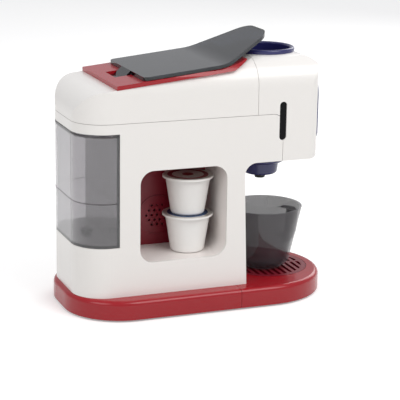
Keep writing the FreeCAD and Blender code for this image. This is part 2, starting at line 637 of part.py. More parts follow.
delivery = DOC.addObject("Part::Feature", "DeliveryTube")
delivery.Shape = swept("tube_radius").cut(swept("tube_bore"))
expected = spine.Length * math.pi * (size("tube_radius") ** 2 - size("tube_bore") ** 2)
print("delivery tube volume", round(delivery.Shape.Volume), "expected", round(expected))
delivery_pump_end = rod("PumpHeadSpace", "pump_radius", "pump_length", "pump_x", "pump_y",
                        pump_z, "x")
node(cut("DeliveryTubeCut", delivery, delivery_pump_end), "delivery_tube")

# Loudspeaker and its grille in the recess's red back panel
recess_back = "-body_width / 2 + recess_depth"
panel_blank = recess_prism("BackPanel", "liner_wall", recess_back,
                           f"{recess_back} + panel_plate")
rings = int(SIZES["grille_rings"])
holes = []
for column in range(-rings, rings + 1):
    for line in range(-rings, rings + 1):
        if abs(column + line) > rings:
            continue
        holes.append(rod("GrilleHole", "grille_hole / 2", "panel_plate + 4",
                         f"{recess_back} - 2",
                         f"grille_y + grille_pitch * {column + line / 2}",
                         f"grille_z + grille_pitch * {line} * {math.sqrt(0.75)}", "x"))
rim_out = rod("GrilleRim", "grille_rim_radius", "grille_rim_tall + 0.2",
              f"{recess_back} - grille_rim_tall", "grille_y", "grille_z", "x")
rim_in = rod("GrilleRimHole", "grille_rim_radius - 1.2", "grille_rim_tall + 5",
             f"{recess_back} - grille_rim_tall - 4.8", "grille_y", "grille_z", "x")
node(cut("SpeakerPanel", fused("PanelAndRim", panel_blank, cut("RimRing", rim_out, rim_in)),
         *holes), "speaker_panel")
speaker_x = f"{recess_back} + panel_plate"
frame_disc = rod("SpeakerFrame", "speaker_radius", "2.5", speaker_x, "grille_y", "grille_z", "x")
basket = DOC.addObject("Part::Cone", "SpeakerBasket")
basket.setExpression("Radius1", bound("speaker_radius - 2"))
basket.setExpression("Radius2", bound("speaker_radius * 0.55"))
basket.setExpression("Height", bound("speaker_depth - 7.5"))
placed(basket, f"{speaker_x} + 2.5", "grille_y", "grille_z", "x")
magnet = rod("SpeakerMagnet", "speaker_radius * 0.55", "5", f"{speaker_x} + speaker_depth - 5",
             "grille_y", "grille_z", "x")
node(fused("Speaker", frame_disc, basket, magnet), "speaker")

# Circuit board on the right wall's posts, with its parts
board = block("Board", (board_x, board_y_low, "board_low_z"),
              (f"{board_x} + board_plate", board_y_high, "board_low_z + board_tall"))
chip = block("Chip", (f"{board_x} - 1.6", "battery_y - 8", "board_low_z + 16"),
             (board_x, "battery_y + 8", "board_low_z + 26"))
cans = [rod("Can", "3", "8", f"{board_x} - 8", f"battery_y + {y}", "board_low_z + 36", "x")
        for y in (-18, -10, 14)]
node(fused("CircuitBoard", board, chip, *cans), "circuit_board")

# Base: a rear shell under the machine and a front lobe that carries the drip grille
base_half = "base_width / 2"


def base_prism(name, inset, low, high):
    """The base's plan: rounded behind, a half circle in front."""
    half = f"({base_half} - ({inset}))"
    rear, front = f"base_length / 2 - ({inset})", f"-base_length / 2 + ({inset})"
    corners = [(half, rear), (f"-{half}", rear), (f"-{half}", front), (half, front)]
    body = prism(name, "XY_Plane", corners, low, high)
    for number, (u, v) in enumerate(corners):
        radius = f"base_rear_round - ({inset})" if number < 2 else f"{half} - 0.02"
        rounded(body, radius, along("XY_Plane", u, v))
    return body


base_blank = rounded(base_prism("BaseBlank", "0", "foot_drop", "base_top"),
                     "base_edge_round", level("base_top"))
base_void = base_prism("BaseVoid", "base_wall", "0", "base_top - base_wall")
box_half_x = "cell_length / 2 + 1.2 + box_wall"
box_half_y = "(cell_count - 1) / 2 * cell_pitch + cell_radius + 0.4 + box_wall"
box_low = "foot_drop + cover_plate + 0.1"
box_high = "cell_bed_z + 2 * cell_radius + box_wall"
box_hole = block("BoxHole", (f"-({box_half_x}) - 0.3", f"battery_y - ({box_half_y}) - 0.3", "0"),
                 (f"{box_half_x} + 0.3", f"battery_y + {box_half_y} + 0.3", "base_top + 5"))
boss_spots = [(x, y) for x in ("-boss_x", "boss_x") for y in ("boss_rear_y", "boss_front_y")]
bosses = [rod("Boss", "boss_radius", "base_top - base_wall / 2 - foot_drop - cover_plate",
              x, y, "foot_drop + cover_plate") for x, y in boss_spots]
boss_bores = [rod("BossBore", "screw_radius + 0.05", "9", x, y, "foot_drop") for x, y in boss_spots]
well_wall = rod("WellWall", "drip_radius + base_wall", "drip_depth + base_wall", "0", "drip_y",
                "base_top - drip_depth - base_wall")
well_seat = rod("WellSeat", "drip_radius", "20", "0", "drip_y", "base_top - drip_plate")
well_space = rod("WellSpace", "drip_radius - drip_ledge", "20", "0", "drip_y",
                 "base_top - drip_depth")
rear_part = block("RearPart", ("-base_width", f"lobe_seam_y + {seam_half}", "0"),
                  ("base_width", "base_length", "base_top + 5"))
lobe_part = block("LobePart", ("-base_width", "-base_length", "0"),
                  ("base_width", f"lobe_seam_y - {seam_half}", "base_top + 5"))
base_skin = fused("BaseSkin", cut("BaseHollow", base_blank, base_void), *bosses)
node(cut("BaseShell", shared("BaseRear", base_skin, rear_part), box_hole, *boss_bores),
     "base_shell")
lobe = fused("LobeAndWell", shared("BaseLobe", base_skin, lobe_part), well_wall)
node(cut("FrontLobe", lobe, well_seat, well_space, *boss_bores), "front_lobe")

# Drip grille: a disc with a rim and a spine between its slots
grille_disc = rod("GrilleDisc", "drip_radius - drip_gap", "drip_plate", "0", "drip_y",
                  "base_top - drip_plate")
slot_area = rod("SlotArea", "drip_radius - drip_ledge - 2", "drip_plate + 2", "0", "drip_y",
                "base_top - drip_plate - 1")
slot_rows = int(size("(drip_radius - drip_ledge - 3) / drip_pitch"))
bars = []
for row in range(-slot_rows, slot_rows + 1):
    for low_x, high_x in (("-drip_radius", "-drip_slot / 2"), ("drip_slot / 2", "drip_radius")):
        bars.append(block("DripSlot", (
            low_x, f"drip_y + drip_pitch * {row} - drip_slot / 2", "base_top - drip_plate - 1"), (
            high_x, f"drip_y + drip_pitch * {row} + drip_slot / 2", "base_top + 1")))
node(cut("DripGrille", grille_disc, shared("DripSlots", slot_area, fused("DripBars", *bars))),
     "drip_grille")

# Bottom cover with the battery door, the power switch, screws and feet
door_half_x = f"{box_half_x} + 2"
door_half_y = f"{box_half_y} + 2"
cover = base_prism("CoverPlate", "base_wall + 0.2", "foot_drop", "foot_drop + cover_plate")
door_hole = block("DoorHole", (f"-({door_half_x})", f"battery_y - ({door_half_y})", "0"),
                  (door_half_x, f"battery_y + {door_half_y}", "10"))
switch_hole = block("SwitchHole", ("-switch_travel - 2", "switch_y - 3", "0"),
                    ("switch_travel + 2", "switch_y + 3", "10"))
head_holes = [rod("HeadHole", "screw_head_radius + 0.2", "10", x, y, "0") for x, y in boss_spots]
node(cut("BottomCover", cover, door_hole, switch_hole, *head_holes), "bottom_cover")
door = block("Door", (f"-({door_half_x}) + door_gap", f"battery_y - ({door_half_y}) + door_gap",
                      "foot_drop"),
             (f"{door_half_x} - door_gap", f"battery_y + {door_half_y} - door_gap",
              "foot_drop + cover_plate - 0.1"))
door_screw_hole = rod("DoorScrewHole", "screw_head_radius + 0.1", "10", "0",
                      f"battery_y + {door_half_y} - door_gap - screw_head_radius - 1", "0")
node(cut("BatteryDoor", door, door_screw_hole), "battery_door")
node(rod("DoorScrew", "screw_head_radius", "screw_head", "0",
         f"battery_y + {door_half_y} - door_gap - screw_head_radius - 1", "foot_drop + 0.2"),
     "door_screw")
node(repeated("CoverScrew", lambda name, x, y: fused(
    name, rod("ScrewHead", "screw_head_radius", "screw_head", x, y, "foot_drop + 0.3"),
    rod("ScrewShank", "screw_radius", "8", x, y, "foot_drop + 0.3")), boss_spots),
     "cover_screws")


def foot(name, x, y):
    """A rubber foot that narrows towards the floor."""
    pad = DOC.addObject("Part::Cone", name)
    pad.setExpression("Radius1", bound("foot_radius - 0.6"))
    pad.setExpression("Radius2", bound("foot_radius"))
    pad.setExpression("Height", bound("foot_drop"))
    return placed(pad, x, y, "0")


node(repeated("Foot", foot, [
    ("-foot_rear_x", "foot_rear_y"), ("foot_rear_x", "foot_rear_y"),
    ("-foot_front_x", "foot_front_y"), ("foot_front_x", "foot_front_y")]), "rubber_feet")
knob = block("SwitchKnob", ("-2.5", "switch_y - 2.6", "foot_drop - 0.3"),
             ("2.5", "switch_y + 2.6", "foot_drop + cover_plate + 1"))
node(knob, "power_switch")
housing = block("SwitchHousing", ("-9", "switch_y - 5", "foot_drop + cover_plate"),
                ("9", "switch_y + 5", "foot_drop + cover_plate + 7"))
housing_room = block("SwitchRoom", ("-8", "switch_y - 2.9", "foot_drop - 1"),
                     ("8", "switch_y + 2.9", "foot_drop + cover_plate + 1.3"))
node(cut("SwitchCase", housing, housing_room), "switch_housing")

# Battery box let up through the base's top, its cells and contacts
box_solid = block("BoxSolid", (f"-({box_half_x})", f"battery_y - ({box_half_y})", box_low),
                  (box_half_x, f"battery_y + {box_half_y}", box_high))
box_room = block("BoxRoom", (f"-({box_half_x}) + box_wall",
                             f"battery_y - ({box_half_y}) + box_wall", "0"),
                 (f"{box_half_x} - box_wall", f"battery_y + {box_half_y} - box_wall",
                  f"{box_high} - box_wall"))
node(cut("BatteryBox", box_solid, box_room), "battery_box")
cell_places = [(f"battery_y + cell_pitch * {n}",)
               for n in [k - (SIZES["cell_count"] - 1) / 2 for k in range(SIZES["cell_count"])]]
node(repeated("Cell", lambda name, y: rod(
    name, "cell_radius", "cell_length", "-cell_length / 2", y, "cell_bed_z + cell_radius - 0.1",
    "x"), cell_places), "battery_cells")
node(repeated("Contact", lambda name, x: block(
    name, (f"{x} - 0.25", f"battery_y - ({box_half_y}) + box_wall + 1", "cell_bed_z + 1"),
    (f"{x} + 0.25", f"battery_y + {box_half_y} - box_wall - 1", "cell_bed_z + 2 * cell_radius - 2")),
    [("-cell_length / 2 - 0.9",), ("cell_length / 2 + 0.9",)]), "battery_contacts")

# Cup: a turned bowl with a handle that points to the front right
cup_base = "base_top + rest_gap"
cup_outline = [("0", cup_base), ("cup_foot_radius", cup_base),
               ("cup_rim_radius", f"{cup_base} + cup_height"),
               ("cup_rim_radius - cup_wall", f"{cup_base} + cup_height"),
               ("cup_foot_radius - cup_wall", f"{cup_base} + cup_floor"),
               ("0", f"{cup_base} + cup_floor")]
bowl = turned("Bowl", cup_outline)
rounded(bowl, "cup_belly_round", lambda edge: level(cup_base)(edge))
rounded(bowl, "cup_belly_round - cup_wall",
        lambda edge: level(f"{cup_base} + cup_floor")(edge))
bowl_blank = turned("BowlBlank", [cup_outline[0], cup_outline[1], cup_outline[2],
                                  ("0", f"{cup_base} + cup_height")])
rounded(bowl_blank, "cup_belly_round", lambda edge: level(cup_base)(edge))
handle_low, handle_high = f"{cup_base} + handle_low", f"{cup_base} + handle_high"


def handle_prism(name, inset, width):
    reach = f"cup_rim_radius + handle_reach - ({inset})"
    corners = [("cup_foot_radius * 0.6", f"{handle_low} + ({inset})"),
               (f"{reach} - 3", f"{handle_low} + ({inset})"),
               (reach, f"{handle_high} - ({inset})"),
               ("cup_foot_radius * 0.6", f"{handle_high} - ({inset})")]
    body = prism(name, "XZ_Plane", corners, f"-({width}) / 2", f"({width}) / 2")
    for u, v in corners[1:3]:
        rounded(body, f"11 - ({inset}) * 0.9", along("XZ_Plane", u, v))
    return body


handle = cut("Handle", handle_prism("HandleOutside", "0", "handle_width"),
             handle_prism("HandleHole", "handle_thick", "handle_width + 4"), bowl_blank)
cup = fused("Cup", bowl, handle)
cup.Placement = FreeCAD.Placement(V(), FreeCAD.Rotation(V(0, 0, 1), SIZES["handle_turn"]))
cup.setExpression("Placement.Rotation.Angle", bound("handle_turn"))
cup.setExpression("Placement.Base.y", bound("cup_y"))
DOC.recompute()
node(cup, "cup")

# Capsules: a tapered shell with a rim, and a foil lid
stack_x = "-body_width / 2 + capsule_rim_radius + stack_inset"
capsule_places = [
    ("0", "brew_y", "seat_z + rest_gap"),
    (stack_x, "stack_y", "recess_floor_z + rest_gap"),
    (stack_x, "stack_y", "recess_floor_z + capsule_height + foil + 2 * rest_gap")]
for number, (x, y, z) in enumerate(capsule_places, start=1):
    capsule = turned(f"Capsule{number}", [
        ("0", "0"), ("capsule_foot_radius", "0"),
        ("capsule_top_radius", "capsule_height - capsule_rim"),
        ("capsule_rim_radius", "capsule_height - capsule_rim"),
        ("capsule_rim_radius", "capsule_height"),
        ("capsule_top_radius - capsule_wall", "capsule_height"),
        ("capsule_foot_radius - capsule_wall", "capsule_wall"), ("0", "capsule_wall"),
    ], at=(x, y))
    rounded(capsule, "2", lambda edge: level("0")(edge))
    capsule.setExpression("Placement.Base.z", bound(z))
    node(capsule, f"capsule_{number}")
    node(rod(f"Foil{number}", "capsule_rim_radius - 0.4", "foil", x, y,
             f"{z} + capsule_height"), f"capsule_foil_{number}")

# Checks and export
DOC.recompute()
os.makedirs("parts", exist_ok=True)
for item in DOC.Objects:
    if "Invalid" in item.State or "Error" in item.State:
        raise RuntimeError(f"{item.Name} ({item.Label}) failed: {item.State}")
for item in NODES:
    if item.Shape.isNull() or not item.Shape.isValid():
        raise RuntimeError(f"{item.Label} has no valid shape")
    print(item.Label, len(item.Shape.Solids), round(item.Shape.Volume), item.Shape.BoundBox)
    item.Shape.exportStep(f"parts/{item.Label}.step")
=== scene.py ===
# Toy coffee maker: the dressed model. All lengths are metres, in the CAD model's frame.
import bpy
import math
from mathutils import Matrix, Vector


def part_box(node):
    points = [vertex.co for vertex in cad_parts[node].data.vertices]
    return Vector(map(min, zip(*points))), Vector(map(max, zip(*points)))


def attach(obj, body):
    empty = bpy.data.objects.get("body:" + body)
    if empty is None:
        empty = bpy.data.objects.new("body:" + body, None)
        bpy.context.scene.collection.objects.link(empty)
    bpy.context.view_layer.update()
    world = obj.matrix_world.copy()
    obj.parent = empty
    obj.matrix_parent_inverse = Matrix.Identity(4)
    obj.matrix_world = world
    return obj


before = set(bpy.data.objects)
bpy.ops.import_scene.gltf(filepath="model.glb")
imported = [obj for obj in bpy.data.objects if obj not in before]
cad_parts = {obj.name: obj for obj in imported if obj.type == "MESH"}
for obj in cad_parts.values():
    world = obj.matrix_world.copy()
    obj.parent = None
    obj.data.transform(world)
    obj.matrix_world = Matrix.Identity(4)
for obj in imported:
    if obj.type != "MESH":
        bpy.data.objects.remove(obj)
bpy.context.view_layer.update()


# Studio floor and lamps.
# A pale sweep of paper under plain soft light, with the floor shown white to the camera
# and to reflections, and grey to the light that falls on the toy.
def linear(code):
    """A colour written as an sRGB hex value, turned to the linear one a shader needs."""
    levels = [int(code[at:at + 2], 16) / 255 for at in (0, 2, 4)]
    opaque = 1.0
    return tuple(level / 12.92 if level <= 0.04045 else ((level + 0.055) / 1.055) ** 2.4
                 for level in levels) + (opaque,)


def finish_named(name):
    """An empty material whose nodes are added one by one."""
    material = bpy.data.materials.new(name)
    material.use_nodes = True
    material.node_tree.nodes.clear()
    return material


def grow(material, kind, links=None, **settings):
    """Adds one node: its own settings by name, its sockets by number or name, and its links."""
    tree = material.node_tree
    added = tree.nodes.new(kind)
    sockets = settings.pop("sockets", {})
    for name, value in settings.items():
        setattr(added, name, value)
    for name, value in sockets.items():
        added.inputs[name].default_value = value
    for name, source in (links or {}).items():
        tree.links.new(source, added.inputs[name])
    return added


FLOOR_SIDE = 24.0
BELOW_FEET = -0.0002
bpy.ops.mesh.primitive_plane_add(size=1.0)
floor = bpy.context.object
floor.name = "paper_sweep"
floor.scale = (FLOOR_SIDE, FLOOR_SIDE, 1.0)
floor.location = (0.0, 0.0, BELOW_FEET)
bpy.ops.object.transform_apply(location=True, rotation=True, scale=True)
paper = finish_named("matt_backdrop_paper")
ray = grow(paper, "ShaderNodeLightPath").outputs
shown = grow(paper, "ShaderNodeMath", {0: ray["Is Camera Ray"], 1: ray["Is Glossy Ray"]},
             operation="MAXIMUM")
shown = grow(paper, "ShaderNodeMath", {0: shown.outputs[0], 1: ray["Is Transmission Ray"]},
             operation="MAXIMUM")
tone = grow(paper, "ShaderNodeMix", {0: shown.outputs[0]}, data_type="RGBA",
            sockets={6: linear("C9C8C6"), 7: linear("F6F5F3")})
matt = grow(paper, "ShaderNodeBsdfPrincipled", {"Base Color": tone.outputs[2]},
            sockets={"Roughness": 0.9, "Specular IOR Level": 0.1})
SHOWN_GLOW = 0.27
glow = grow(paper, "ShaderNodeMath", {0: shown.outputs[0]}, operation="MULTIPLY",
            sockets={1: SHOWN_GLOW})
lift = grow(paper, "ShaderNodeEmission", {"Strength": glow.outputs[0]},
            sockets={"Color": linear("FFFFFF")})
lit = grow(paper, "ShaderNodeAddShader", {0: matt.outputs[0], 1: lift.outputs[0]})
grow(paper, "ShaderNodeOutputMaterial", {"Surface": lit.outputs[0]})
floor.data.materials.append(paper)

world = bpy.data.worlds.new("studio_air")
bpy.context.scene.world = world
world.use_nodes = True
world.node_tree.nodes.clear()
ray = grow(world, "ShaderNodeLightPath").outputs
shown = grow(world, "ShaderNodeMath", {0: ray["Is Camera Ray"], 1: ray["Is Transmission Ray"]},
             operation="MAXIMUM")
tone = grow(world, "ShaderNodeMix", {0: shown.outputs[0]}, data_type="RGBA",
            sockets={6: linear("CDCED1"), 7: linear("F4F4F3")})
air = grow(world, "ShaderNodeBackground", {"Color": tone.outputs[2]}, sockets={"Strength": 1.0})
grow(world, "ShaderNodeOutputWorld", {"Surface": air.outputs[0]})

for name, place, aim, size, watts in (
        ("window_softbox", (-0.9, -0.5, 1.2), (0.0, 0.0, 0.10), 0.9, 9.5),
        ("rear_softbox", (-0.6, 1.1, 0.9), (0.0, 0.0, 0.12), 0.8, 5.0),
        ("front_softbox", (0.9, -1.1, 0.8), (0.0, 0.0, 0.12), 0.8, 5.0)):
    lamp = bpy.data.lights.new(name, "AREA")
    lamp.shape = "SQUARE"
    lamp.size = size
    lamp.energy = watts
    softbox = bpy.data.objects.new(name, lamp)
    bpy.context.scene.collection.objects.link(softbox)
    softbox.location = place
    softbox.rotation_euler = (Vector(aim) - Vector(place)).to_track_quat("-Z", "Y").to_euler()

# Camera, level with the photograph's: beside the machine and a little behind it.
optics = bpy.data.cameras.new("photo_camera")
optics.sensor_width = 36.0
optics.lens = 136.66
optics.clip_end = 20.0
camera = bpy.data.objects.new("photo_camera", optics)
bpy.context.scene.collection.objects.link(camera)
camera.location = (-1.2069, 0.4665, 0.4304)
camera.rotation_euler = [math.radians(turn) for turn in (75.026, -0.849, -111.277)]
bpy.context.scene.camera = camera
bpy.context.scene.view_settings.view_transform = "Standard"


# Ivory housing: lower body, front shell, top cover and the liner of the storage recess.
# Injection-moulded ABS from a polished tool. The eye gets a soft gloss, a faint, slow
# ripple in the reflections, and a warm tint that drifts a little.
RIPPLE_LENGTH = 0.012
GRAIN_LENGTH = 0.0016


def moulded(name, shade, tint, rough, ripple=0.03, grain=0.0, gloss=0.5):
    """Moulded plastic: its tint drifts towards a second shade, and a ripple and a grain
    disturb its gloss. The real grain is too fine to show, so it is drawn coarser."""
    plastic = finish_named(name)
    where = grow(plastic, "ShaderNodeTexCoord").outputs["Object"]
    drift = grow(plastic, "ShaderNodeTexNoise", {"Vector": where},
                 sockets={"Scale": 9.0, "Detail": 9.0, "Roughness": 0.8})
    colour = grow(plastic, "ShaderNodeMix", {0: drift.outputs["Fac"]}, data_type="RGBA",
                  sockets={6: linear(shade), 7: linear(tint)})
    wave = grow(plastic, "ShaderNodeTexNoise", {"Vector": where},
                sockets={"Scale": 0.5 / RIPPLE_LENGTH, "Detail": 1.0})
    fine = grow(plastic, "ShaderNodeTexNoise", {"Vector": where},
                sockets={"Scale": 0.5 / GRAIN_LENGTH, "Detail": 0.0})
    handled = grow(plastic, "ShaderNodeTexNoise", {"Vector": where},
                   sockets={"Scale": 30.0, "Detail": 6.0, "Roughness": 0.7})
    dull = grow(plastic, "ShaderNodeMapRange", {"Value": handled.outputs["Fac"]},
                sockets={"From Min": 0.15, "From Max": 0.85,
                         "To Min": rough - 0.04, "To Max": rough + 0.05})
    low = grow(plastic, "ShaderNodeBump", {"Height": wave.outputs["Fac"]},
               sockets={"Strength": ripple, "Distance": 0.001})
    high = grow(plastic, "ShaderNodeBump",
                {"Height": fine.outputs["Fac"], "Normal": low.outputs[0]},
                sockets={"Strength": grain, "Distance": 0.0003})
    shell = grow(plastic, "ShaderNodeBsdfPrincipled",
                 {"Base Color": colour.outputs[2], "Roughness": dull.outputs[0],
                  "Normal": high.outputs[0]},
                 sockets={"IOR": 1.54, "Specular IOR Level": gloss})
    grow(plastic, "ShaderNodeOutputMaterial", {"Surface": shell.outputs[0]})
    return plastic


def dress(material, *names):
    """Gives CAD nodes this finish in place of the plain one they come with."""
    for name in names:
        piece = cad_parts[name]
        piece.data.materials.clear()
        piece.data.materials.append(material)


ivory_abs = moulded("gloss_ivory_moulded_abs", "EFECE8", "EDE9E4", rough=0.21)
dress(ivory_abs, "lower_body", "top_cover", "front_shell")
# Painted shade: the liner is a little darker and pinker than the housing, for the shade inside the
# recess.
recess_painted_shade_abs = moulded("satin_ivory_abs_painted_shade", "ECE6E2", "E8E1DD", rough=0.38, grain=0.05)
dress(recess_painted_shade_abs, "storage_liner")


# Red base, trim under the lever, drip grille and the back panel of the recess.
# The same ABS coloured red through its thickness, glossier on the base, and satin on the
# panel, whose texture hides the sink marks over the loudspeaker's bosses. The panel and the
# drip grille are a darker red: painted shade for the back of the recess and under the cup.
red_abs = moulded("gloss_red_moulded_abs", "A20D1B", "9A0B19", rough=0.20, gloss=0.4)
dress(red_abs, "base_shell", "front_lobe", "top_trim")
# Painted shade: a darker copy of the red for the panel and the grille, standing in for the shade
# they sit in.
red_satin_painted_shade_abs = moulded("satin_red_abs_painted_shade", "7E0E22", "760C1F", rough=0.36, grain=0.08,
                        gloss=0.4)
dress(red_satin_painted_shade_abs, "speaker_panel", "drip_grille")


# Control panel, brew chamber with its collar, and nozzle.
# Navy ABS. The panel is a hard-coated film over a moulded plate, so it shines more than
# the chamber behind it.
panel_film = moulded("coated_navy_film", "333A6C", "2F3566", rough=0.17, ripple=0.02, grain=0.01)
dress(panel_film, "control_panel")
navy_abs = moulded("gloss_navy_moulded_abs", "2A2A63", "252659", rough=0.21)
dress(navy_abs, "brew_chamber", "nozzle")


# Lever, water tank and cup.
# Smoke-tinted clear styrene, polished on both sides. Light goes through it and greys, and
# it darkens where a wall is seen along its length.
def smoked(name, tint, deep, rough=0.02, through=0.9, cover=1.0):
    """Tinted clear plastic with long, faint flow lines and handling marks in its gloss. Light
    goes through it bent, by through, or straight, where cover is under one, as in a thin wall."""
    clear = finish_named(name)
    where = grow(clear, "ShaderNodeTexCoord").outputs["Object"]
    flow = grow(clear, "ShaderNodeTexNoise", {"Vector": where},
                sockets={"Scale": 22.0, "Detail": 3.0, "Roughness": 0.5})
    colour = grow(clear, "ShaderNodeMix", {0: flow.outputs["Fac"]}, data_type="RGBA",
                  sockets={6: linear(tint), 7: linear(deep)})
    handled = grow(clear, "ShaderNodeTexNoise", {"Vector": where},
                   sockets={"Scale": 90.0, "Detail": 5.0})
    dull = grow(clear, "ShaderNodeMapRange", {"Value": handled.outputs["Fac"]},
                sockets={"From Min": 0.2, "From Max": 0.8, "To Min": rough, "To Max": rough + 0.04})
    wave = grow(clear, "ShaderNodeBump", {"Height": flow.outputs["Fac"]},
                sockets={"Strength": 0.03, "Distance": 0.001})
    body = grow(clear, "ShaderNodeBsdfPrincipled",
                {"Base Color": colour.outputs[2], "Roughness": dull.outputs[0],
                 "Normal": wave.outputs[0]},
                sockets={"IOR": 1.55, "Transmission Weight": through, "Alpha": cover})
    grow(clear, "ShaderNodeOutputMaterial", {"Surface": body.outputs[0]})
    return clear


tank_styrene = smoked("smoked_clear_styrene", "CFCDCF", "C5C3C6")
dress(tank_styrene, "water_tank")
lever_styrene = smoked("smoked_lever_styrene", "262A33", "20242C")
dress(lever_styrene, "lever")
cup_styrene = smoked("dark_smoked_styrene", "454146", "3C383D", rough=0.05, through=0.0, cover=0.6)
dress(cup_styrene, "cup")


# Fill line and lip of the water tank.
# Both are moulded into the tank's wall: a fine raised line at the level where the water
# stops, and a lip round the mouth that stiffens it and looks darker from the side.
TANK_MIDDLE_Y = 0.06
PAST_INNER_FACE = 0.001
BAND_PROUD = 0.0002


def keep_faces(piece, wanted):
    """Deletes the faces of a piece for which wanted(face) is false."""
    bpy.ops.object.mode_set(mode="OBJECT")
    for face in piece.data.polygons:
        face.select = not wanted(face)
    bpy.ops.object.mode_set(mode="EDIT")
    bpy.ops.mesh.select_mode(type="FACE")
    bpy.ops.mesh.delete(type="FACE")
    bpy.ops.object.mode_set(mode="OBJECT")


def wall_band(name, low, high, finish):
    """A band of the tank's outer wall between two heights, raised a little from it."""
    band = bpy.data.objects.new(name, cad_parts["water_tank"].data.copy())
    bpy.context.scene.collection.objects.link(band)
    bpy.ops.object.select_all(action="DESELECT")
    bpy.context.view_layer.objects.active = band
    band.select_set(True)
    bpy.ops.object.mode_set(mode="EDIT")
    bpy.ops.mesh.select_all(action="SELECT")
    bpy.ops.mesh.remove_doubles(threshold=0.000002)
    for height, above in ((low, False), (high, True)):
        bpy.ops.mesh.select_all(action="SELECT")
        bpy.ops.mesh.bisect(plane_co=(0, 0, height), plane_no=(0, 0, 1), clear_outer=above,
                            clear_inner=not above)
    middle = Vector((0.0, TANK_MIDDLE_Y, (low + high) / 2))
    nearest_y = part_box("water_tank")[0][1] + PAST_INNER_FACE

    def outer(face):
        """Whether a face is upright, looks away from the machine, and shows from outside."""
        outward = face.normal.dot((face.center - middle).normalized()) > 0.2
        return outward and face.center.y > nearest_y and abs(face.normal.z) < 0.5

    keep_faces(band, outer)
    raised = band.modifiers.new("raised", "SOLIDIFY")
    raised.thickness = BAND_PROUD
    raised.offset = 1.0
    bpy.ops.object.modifier_apply(modifier="raised")
    band.data.materials.clear()
    band.data.materials.append(finish)
    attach(band, "tank")


lip_styrene = smoked("thick_smoked_styrene", "7D767B", "736C72")
for band_name, low, high in (("tank_fill_line", 0.0996, 0.1002), ("tank_lip", 0.1562, 0.1584)):
    wall_band(band_name, low, high, lip_styrene)


# Slot windows in both sides of the head, and the rubber spout.
# Black styrene with a polished face, let into the shell from inside.
black_styrene = moulded("gloss_black_styrene", "060609", "040406", rough=0.34, gloss=0.12)
dress(black_styrene, "slot_windows")
spout_rubber = moulded("black_spout_rubber", "1B1B1C", "141415", rough=0.55, grain=0.2)
dress(spout_rubber, "spout")


# Round dial of the control panel, with the status light in its middle.
# A navy disc with a pale ring printed near its edge and another around the light.
def printed_rings(material, where, centre, facing, per_metre, inmost, steps):
    """Rings printed round a centre. Facing is 0 along the axis that they face and 1 along
    the others. Each step is a radius, as a share of 1 / per_metre, and the colour beyond it."""
    centred = grow(material, "ShaderNodeMapping", {"Vector": where}, vector_type="POINT",
                   sockets={"Location": centre, "Scale": facing})
    reach = grow(material, "ShaderNodeVectorMath", {0: centred.outputs[0]}, operation="LENGTH")
    share = grow(material, "ShaderNodeMath", {0: reach.outputs["Value"]}, operation="MULTIPLY",
                 sockets={1: per_metre})
    rings = grow(material, "ShaderNodeValToRGB", {"Fac": share.outputs[0]})
    ramp = rings.color_ramp
    ramp.interpolation = "CONSTANT"
    ramp.elements[0].color = linear(inmost)
    first, *others = steps
    ramp.elements[1].position = first[0]
    ramp.elements[1].color = linear(first[1])
    for spot, code in others:
        ramp.elements.new(spot).color = linear(code)
    return rings.outputs[0]


DIAL_CENTRE_Z = 0.176
NAVY, PALE, DIM = "2A2F5C", "C9CCE0", "8F94B8"
dial_film = finish_named("printed_navy_dial")
where = grow(dial_film, "ShaderNodeTexCoord").outputs["Object"]
face_colour = printed_rings(
    dial_film, where, (0.0, 0.0, -DIAL_CENTRE_Z), (1.0, 0.0, 1.0), 50.0, NAVY,
    ((0.80, PALE), (0.855, NAVY), (0.19, DIM), (0.215, NAVY)))
grained = grow(dial_film, "ShaderNodeTexNoise", {"Vector": where},
               sockets={"Scale": 900.0, "Detail": 2.0})
satin = grow(dial_film, "ShaderNodeBump", {"Height": grained.outputs["Fac"]},
             sockets={"Strength": 0.04, "Distance": 0.0002})
disc = grow(dial_film, "ShaderNodeBsdfPrincipled",
            {"Base Color": face_colour, "Normal": satin.outputs[0]},
            sockets={"Roughness": 0.3, "IOR": 1.5})
grow(dial_film, "ShaderNodeOutputMaterial", {"Surface": disc.outputs[0]})
dress(dial_film, "dial_ring")

key_abs = moulded("white_key_abs", "E9E9EC", "E2E2E6", rough=0.34)
dress(key_abs, "large_cup_key", "small_cup_key")
lens_acrylic = smoked("frosted_lens_acrylic", "F1F4FF", "E6EAFA", rough=0.25, through=0.5)
dress(lens_acrylic, "status_light")


# Marks printed on the control panel: drops, rings, bars and two cup outlines.
# White pad-printing ink, under a tenth of a millimetre thick, that follows the bow of the
# panel. Each key carries a cup of its own size, in navy.
BEFORE_PANEL = -0.12
INK_FILM = 0.00008


def disc_before_panel(x, z, radius):
    """A filled circle that faces the front, with its sizes in millimetres, in edit mode."""
    bpy.ops.object.select_all(action="DESELECT")
    bpy.ops.mesh.primitive_circle_add(
        vertices=36, radius=radius / 1000, fill_type="NGON",
        location=(x / 1000, BEFORE_PANEL, z / 1000), rotation=(math.pi / 2, 0, 0))
    bpy.ops.object.mode_set(mode="EDIT")
    return bpy.context.object


def ring_mark(x, z, outer, inner, start=-180.0, end=180.0):
    """A printed ring, or the part of one between two angles from the right."""
    ring = disc_before_panel(x, z, outer)
    bpy.ops.mesh.inset(thickness=(outer - inner) / 1000)
    bpy.ops.mesh.delete(type="FACE")

    def within(face):
        return start <= math.degrees(math.atan2(face.center.y, face.center.x)) <= end

    keep_faces(ring, within)
    return ring


